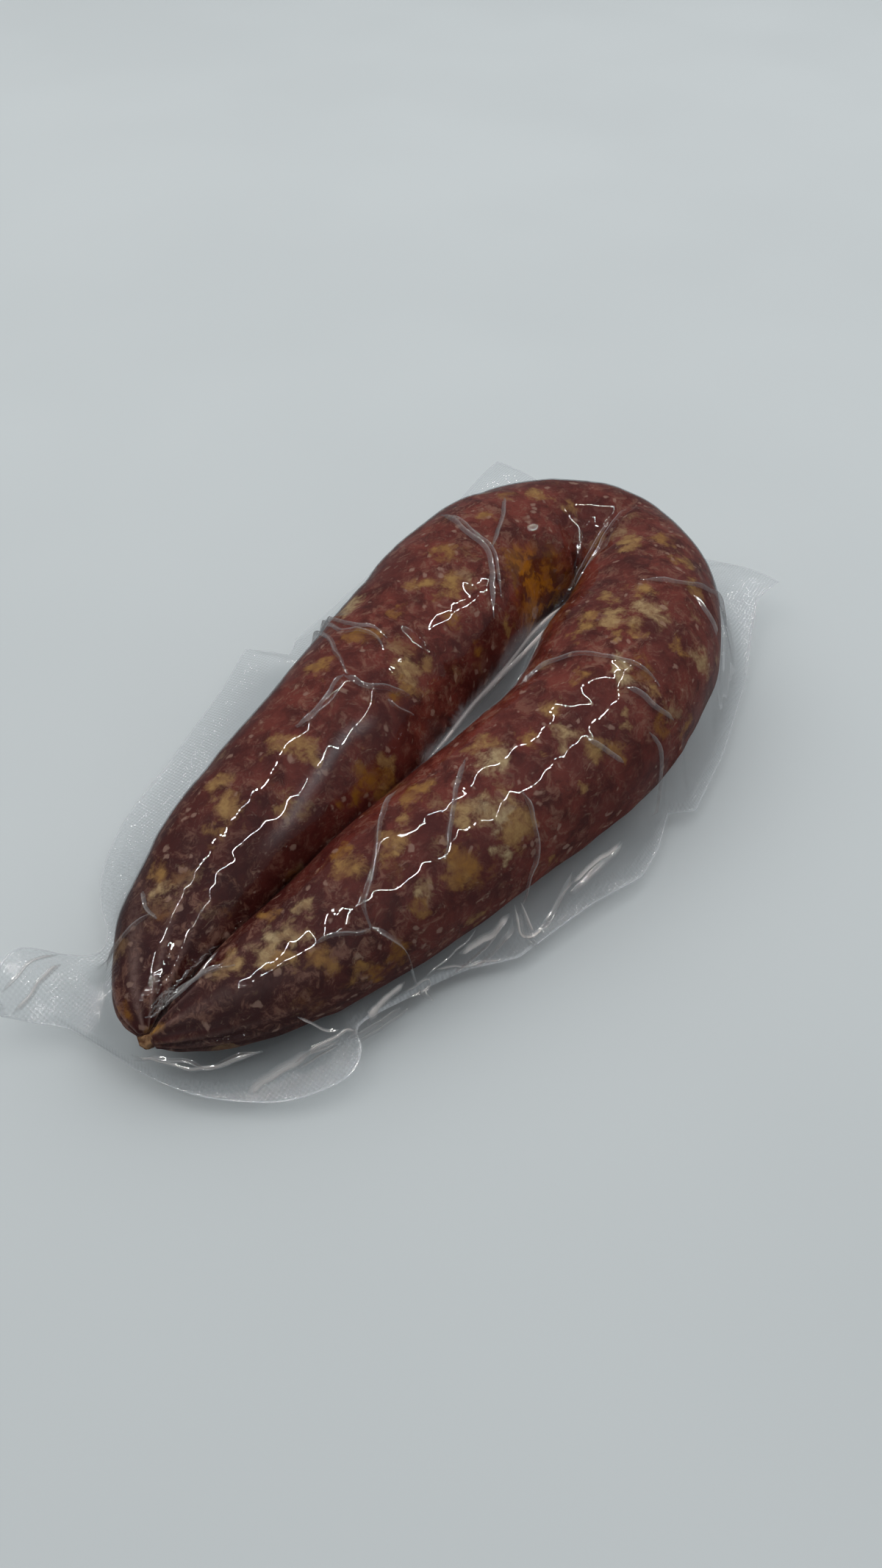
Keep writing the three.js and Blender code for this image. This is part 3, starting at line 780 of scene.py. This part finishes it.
def top_layers(obj, x, y, z, inside, floor):
    """Where the upper film creases with painted sheen, ends, is pale over the slit as painted light, lies
    closed on the seam with painted shade, and forms the rim.
    """
    band, part = to_run(x, y, HAZE_AND_SHEEN_BAND)
    band = np.exp(-(band / 1.15) ** 2) * smooth(0, 0.2, part) * smooth(0, 0.3, 1 - part)
    ridge = np.interp(x, *np.array(RIDGE_ONE, float).T)
    # painted light: the film over the slit is given a pale milky haze
    slit = smooth(0.5, 1.4, z - floor) * smooth(0.5, -0.2, y - ridge) * smooth(-8, -5, y - ridge)
    slit = slit * smooth(-14, -8, x) * smooth(66, 60, x)
    # painted sheen: a milky haze along the far leg
    float_layer(obj, "crease", 1.9 * band.ravel())
    float_layer(obj, "edge", np.maximum((inside.ravel() < 0.5) * 1.3, 0.75 * slit.ravel()))
    # painted shade: along the seam between the legs the film's gloss is taken away
    seam = to_run(x, y, SEAM)[0].ravel()
    float_layer(obj, "seam_painted_shade", 0.9 * np.exp(-(seam / 2.2) ** 2))
    flat_rim = (floor < 0) * smooth(15, 8, inside) * smooth(2.5, 0.8, z - rim_height(x, y))
    float_layer(obj, "rim", flat_rim.ravel())


def top_film(tree):
    """The upper film over the meat, with its folds and dents, and its points."""
    x, y, inside = film_grid(TOP_LINES, TOP_ROWS)
    floor = heights(tree, x, y)
    z = stretched(x, y, inside, floor)
    points = dented(x, y, z, inside, floor)
    clear_of(tree, points, FIRST_GAP)
    grid = points.reshape(TOP_LINES, TOP_ROWS, 3)
    for _ in range(2):
        mean = (grid[:-2, 1:-1] + grid[2:, 1:-1] + grid[1:-1, :-2] + grid[1:-1, 2:]) * 0.25
        grid[1:-1, 1:-1] += 0.6 * (mean - grid[1:-1, 1:-1])
    clear_of(tree, points, LAST_GAP)
    obj = mesh_object("film_top", points, grid_faces(TOP_LINES, TOP_ROWS))
    top_layers(obj, x, y, z, inside, floor)
    obj.data.materials.append(film_material("clear_film", 0.003, 0.0))
    return obj, points


# Points across a pleat, and the step along it
STRIP_POINTS, STRIP_STEP = 13, 0.35


def standing_on(tree, x, y, taut):
    """Where a pleat's foot is, on the film or taut over the slit, and which way is up there."""
    if taut:
        return Vector((x, y, RIDGE_TOP + RIDGE_RISE * max(x - RISE_FROM, 0) - 0.25)), -DOWN
    place, up = tree.ray_cast(Vector((x, y, ABOVE_ALL)), DOWN)[:2]
    if place is None:
        return Vector((x, y, RIM_HEIGHT)), -DOWN
    return place, (-up if up.z < 0 else up)


def pleat_strips(points):
    """Folded-up pleats as fine strips that stand on the film; the bright folds and the slit's ridges among
    them carry painted highlights.
    """
    tree = BVHTree.FromPolygons([Vector(p) for p in points], grid_faces(TOP_LINES, TOP_ROWS))
    across = np.linspace(-1, 1, STRIP_POINTS)
    profile = (0.5 + 0.5 * np.cos(math.pi * across)) ** 0.8
    lean = 0.35 * profile
    verts, faces, crest_haze_and_highlight = [], [], []
    # the slit's two ridges are whitened to full milky haze: painted highlight lines
    ridges = [(0.8, 1.0, RIDGE_ONE, 9.0), (0.7, 0.9, RIDGE_TWO[2:], 9.0)]
    # a strip's shine scales its milky crest haze: 1 for plain pleats, more for painted highlights on folds
    # and ridges
    folds = [(*row, 1.0) for row in PLEATS] + PAINTED_HIGHLIGHT_FOLDS
    for order, (height, width, run, shine) in enumerate(folds + ridges):
        line = spline(run, 12)
        at = np.concatenate([[0], np.cumsum(np.hypot(*np.diff(line, axis=0).T))])
        count = max(int(at[-1] / STRIP_STEP), 6)
        steps = np.linspace(0, at[-1], count)
        px, py = np.interp(steps, at, line[:, 0]), np.interp(steps, at, line[:, 1])
        taut = order >= len(folds)
        own_row = np.stack([steps, steps * 0 + order * 7.3, steps * 0], 1)
        wobble = noise3(own_row, 3.5, 41) * (0 if taut else 1)
        tx, ty = np.gradient(px), np.gradient(py)
        size = np.hypot(tx, ty)
        sx, sy = -ty / size, tx / size
        px, py = px + 0.25 * wobble * sx, py + 0.25 * wobble * sy
        part = np.linspace(0, 1, count)
        ends = smooth(0, 0.16, part) * smooth(0, 0.16, 1 - part)
        swell = ends * (1 + 0.3 * wobble)
        start = len(verts)
        for i in range(count):
            place, up = standing_on(tree, px[i], py[i], taut)
            tangent = Vector((tx[i], ty[i], 0)).normalized()
            side = tangent.cross(up).normalized()
            half = 0.8 * width * (0.35 + 0.65 * ends[i])
            for u, h, shift in zip(across, profile, lean):
                offset = (u + shift * (1 if order % 2 else -1)) * half
                verts.append(place + side * offset + up * (0.03 + height * h * swell[i]))
                crest_haze_and_highlight.append(h * ends[i] * shine)
            if i:
                a, b = start + (i - 1) * STRIP_POINTS, start + i * STRIP_POINTS
                faces += [(a + k, a + k + 1, b + k + 1, b + k) for k in range(STRIP_POINTS - 1)]
    obj = mesh_object("film_pleats_and_highlights", np.array([tuple(v) for v in verts]), faces)
    float_layer(obj, "crease", crest_haze_and_highlight)
    # the pleats' warm milky tint is painted warm light from the meat under them
    obj.data.materials.append(film_material("clear_film_pleat_and_highlight", 0.01, 0.09, straight_on=0.22,
                                            milky=(0.92, 0.84, 0.80, 1), crease_haze_and_highlight=0.15))
    return obj


def base_film(tree):
    """The lower film, drawn down over the underside and flat under the rim."""
    x, y, inside = film_grid(BASE_LINES, BASE_ROWS)
    rim = rim_height(x, y)
    onto = smooth(1, 9, inside)
    z = rim - 0.18 - np.maximum(drape(x, y, -1, rim, 2), 0) * onto
    z = np.maximum(z, 0.06)
    points = np.stack([x, y, z], 2).reshape(-1, 3)
    points[:, 2] += 0.08 * noise3(points, 5.0, 31) * smooth(0.5, 2, points[:, 2])
    clear_of(tree, points, FIRST_GAP)
    obj = mesh_object("film_base", points, grid_faces(BASE_LINES, BASE_ROWS, flip=True))
    float_layer(obj, "rim", smooth(14, 8, inside.ravel()))
    float_layer(obj, "edge", (inside.ravel() < 0.5) * 1.0)
    obj.data.materials.append(film_material("clear_film_base", 0.02, 0.06, weave_haze=0.0))
    return obj


meat, meat_tree = sausage()
film, film_points = top_film(meat_tree)
pleats = pleat_strips(film_points)
base = base_film(meat_tree)
tie = knot()
for piece in (meat, tie, film, pleats, base):
    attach(piece, "root")
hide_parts("vacuum_pouch")


# Stage, light and camera
def table():
    """A plain pale table top, which isn't part of the object."""
    n = Nodes("table")
    coord = n.add("TexCoord").outputs["Object"]
    cloud = n.noise(coord, 160.0, 2.0, 0.5)
    colour = n.mix(n.ramp(cloud, 0.3, 0.7), (0.61, 0.645, 0.652, 1), (0.63, 0.666, 0.673, 1))
    shader = n.add("BsdfPrincipled", {"Base Color": colour, "Roughness": 0.8, "Specular IOR Level": 0.0})
    n.tree.links.new(shader.outputs[0], n.out.inputs["Surface"])
    mesh = bpy.data.meshes.new("floor")
    half = 3.0
    corners = [(-half, -half, 0), (half, -half, 0), (half, half, 0), (-half, half, 0)]
    mesh.from_pydata(corners, [], [(0, 1, 2, 3)])
    floor = bpy.data.objects.new("floor", mesh)
    mesh.materials.append(n.mat)
    bpy.context.scene.collection.objects.link(floor)
    floor.visible_glossy = False


def room():
    """A pale ceiling over a dim room."""
    world = bpy.data.worlds.new("room")
    world.use_nodes = True
    tree = world.node_tree
    aim = tree.nodes.new("ShaderNodeTexCoord")
    up = tree.nodes.new("ShaderNodeSeparateXYZ")
    level = tree.nodes.new("ShaderNodeMapRange")
    level.interpolation_type = "SMOOTHSTEP"
    limits = {"From Min": -0.1, "From Max": 0.95, "To Min": 0.13, "To Max": 0.25}
    for name, value in limits.items():
        level.inputs[name].default_value = value
    tree.links.new(aim.outputs["Generated"], up.inputs[0])
    tree.links.new(up.outputs[2], level.inputs["Value"])
    tree.links.new(level.outputs["Result"], tree.nodes["Background"].inputs[1])
    tree.nodes["Background"].inputs[0].default_value = (0.9, 0.96, 1.0, 1)
    bpy.context.scene.world = world


def area(name, place, target, size, power, colour):
    """A soft square light that the film doesn't mirror."""
    light = bpy.data.lights.new(name, "AREA")
    light.shape = "RECTANGLE"
    light.size = light.size_y = size
    light.energy = power
    light.color = colour
    obj = bpy.data.objects.new(name, light)
    obj.location = place
    obj.rotation_euler = (Vector(target) - Vector(place)).to_track_quat("-Z", "Y").to_euler()
    obj.visible_glossy = False
    bpy.context.scene.collection.objects.link(obj)


def lamp_ring():
    """A rectangle of small lamps that only shows as points of light on the film."""
    ring = Nodes("lamp")
    glow = ring.add("Emission", {"Color": (1.0, 0.98, 0.94, 1), "Strength": 90.0})
    ring.mat.cycles.emission_sampling = "FRONT_BACK"
    ring.tree.links.new(glow.outputs[0], ring.out.inputs["Surface"])
    centre, wide, deep = Vector((0.22, -0.22, 1.2)), 1.15, 1.05
    corners = [(-wide / 2, -deep / 2), (wide / 2, -deep / 2), (wide / 2, deep / 2), (-wide / 2, deep / 2)]
    turn_cos, turn_sin = 0.78, 0.62
    step, size = 0.042, 0.009
    square = [(-size, -size), (-size, size), (size, size), (size, -size)]
    verts, faces = [], []
    for k in range(4):
        (ax, ay), (bx, by) = corners[k], corners[(k + 1) % 4]
        count = int(math.hypot(bx - ax, by - ay) / step)
        for i in range(count):
            px, py = ax + (bx - ax) * i / count, ay + (by - ay) * i / count
            middle = centre + Vector((px * turn_cos - py * turn_sin, px * turn_sin + py * turn_cos, 0))
            faces.append(tuple(range(len(verts), len(verts) + 4)))
            verts += [middle + Vector((*corner, 0)) for corner in square]
    mesh = bpy.data.meshes.new("lamp_ring")
    mesh.from_pydata([tuple(v) for v in verts], [], faces)
    mesh.materials.append(ring.mat)
    lamp = bpy.data.objects.new("lamp_ring", mesh)
    lamp.visible_camera = lamp.visible_diffuse = lamp.visible_shadow = lamp.visible_transmission = False
    bpy.context.scene.collection.objects.link(lamp)


# The phone's lens, in the drawing frame
CAMERA_AT = (-154.8, -123.6, 220.0)


def camera():
    """The phone's wide lens, looking down at the middle of the drawing frame."""
    cam = bpy.data.cameras.new("camera")
    cam.lens = 26.0
    cam.sensor_width = 36.0
    cam.clip_start = 0.01
    obj = bpy.data.objects.new("camera", cam)
    eye = Vector(CAMERA_AT - SHIFT) * MM
    look = Vector(-SHIFT) * MM
    obj.location = eye
    obj.rotation_euler = (look - eye).to_track_quat("-Z", "Y").to_euler()
    bpy.context.scene.collection.objects.link(obj)
    bpy.context.scene.camera = obj


table()
room()
area("key", (-0.35, 0.75, 1.1), (0, 0.15, 0), 1.2, 5.5, (1.0, 0.99, 0.975))
area("fill", (0.35, 0.6, 1.5), (0.05, 0.1, 0), 2.6, 12.0, (0.98, 0.99, 1.0))
area("side", (0.85, -0.3, 1.1), (0.05, -0.05, 0), 1.4, 7.6, (0.98, 0.99, 1.0))
lamp_ring()
camera()
bpy.context.scene.view_settings.view_transform = "Standard"
